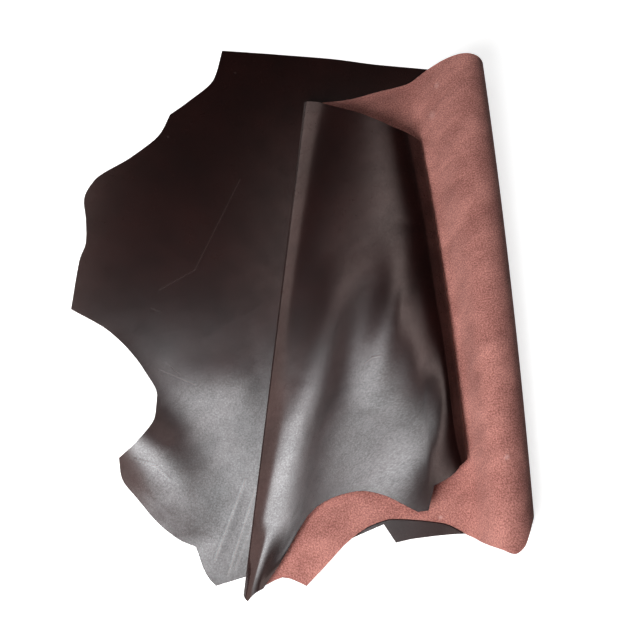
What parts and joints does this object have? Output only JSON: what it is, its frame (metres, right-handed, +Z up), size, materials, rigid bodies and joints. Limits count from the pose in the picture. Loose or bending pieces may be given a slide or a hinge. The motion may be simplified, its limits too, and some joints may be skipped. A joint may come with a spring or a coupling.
{
  "type": "leather side",
  "caption": "Whole leather side with an irregular hide outline, folded back and forth with its grain side and its suede side both showing, lying flat on a surface.",
  "frame": {"origin": "middle of the bounding box, on the surface that the side lies on", "axes": "+Z up from that surface, +Y towards the spine edge, +X towards the rolled fold, -X towards the neck end"},
  "size_m": [0.8308, 1.151, 0.0963],
  "materials": {
    "leather": "semi-gloss dyed grain on one face, pink-brown suede on the other"
  },
  "bodies": {
    "root": {"leather_side": "leather"}
  },
  "joints": []
}
